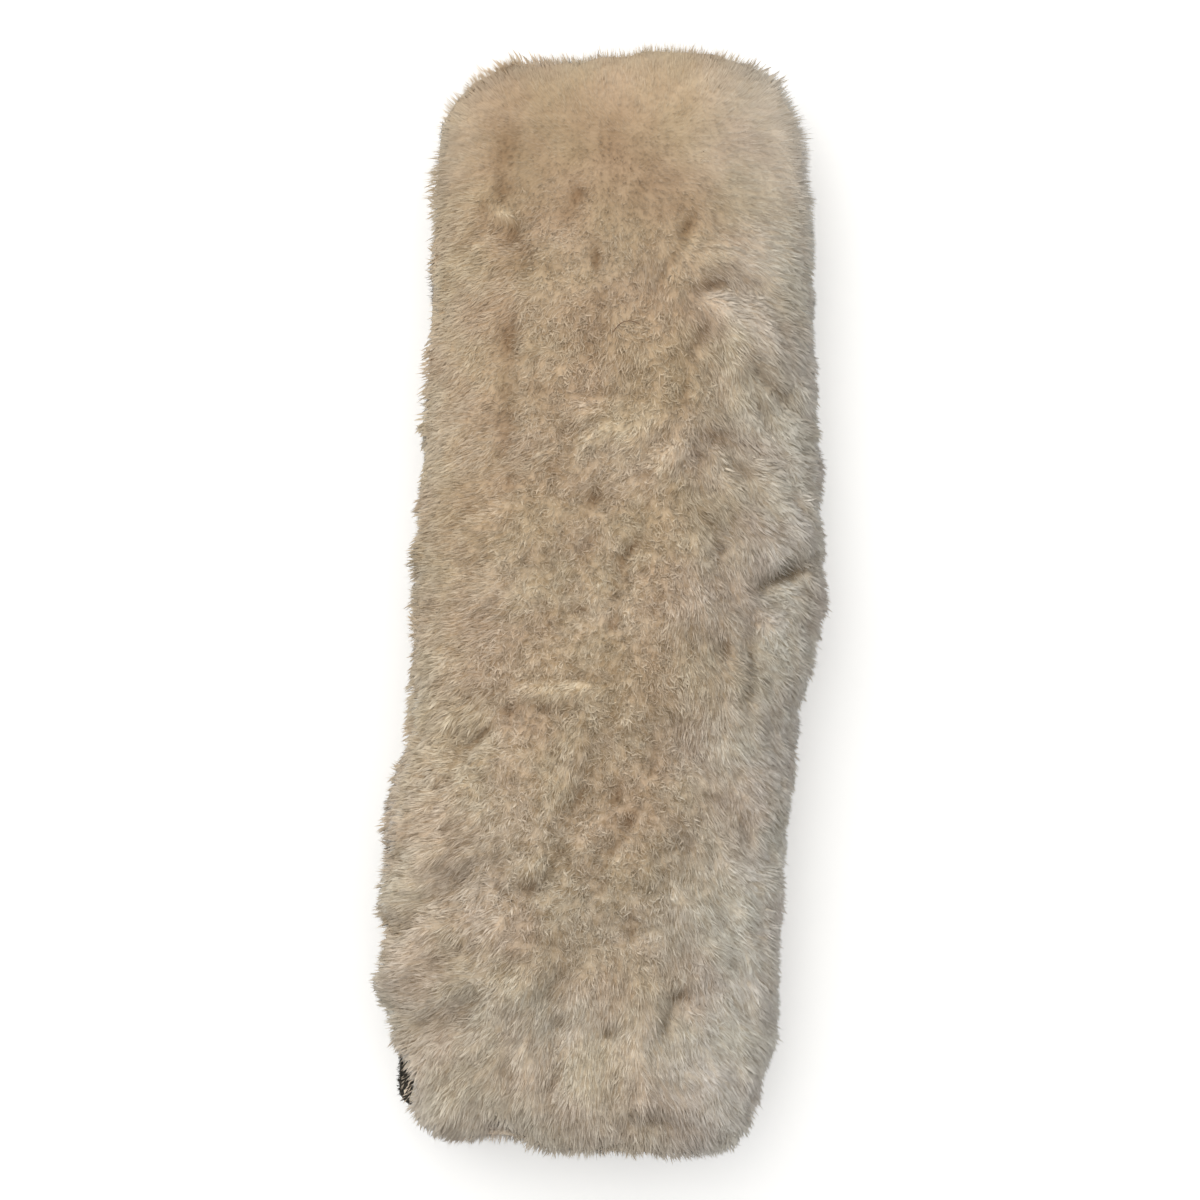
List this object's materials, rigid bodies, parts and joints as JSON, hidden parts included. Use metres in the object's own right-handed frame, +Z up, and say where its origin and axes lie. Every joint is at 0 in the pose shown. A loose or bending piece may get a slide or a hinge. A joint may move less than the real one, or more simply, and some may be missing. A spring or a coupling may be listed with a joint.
{
  "type": "seat belt shoulder pad",
  "caption": "Sheepskin pad folded lengthwise round a car's shoulder belt, wool outside, closed along its open edge with hook and loop tape.",
  "frame": {"origin": "under the middle of the pad's box, on the surface that its lower leaf rests on", "axes": "+X from the taped open edge to the fold, +Y along the belt towards the pad's upper end in the picture, +Z up through the pad's thickness"},
  "size_m": [0.1106, 0.2792, 0.047],
  "materials": {
    "wool": "soft natural wool, beige, matt",
    "hide": "suede flesh side of a sheepskin, matt",
    "tape": "woven nylon with hooks or loops, black",
    "thread": "black sewing thread"
  },
  "bodies": {
    "root": {"sheepskin": "wool", "hook_tape": "tape", "loop_tape": "tape", "hook_tape_stitching": "thread", "loop_tape_stitching": "thread"}
  },
  "joints": []
}
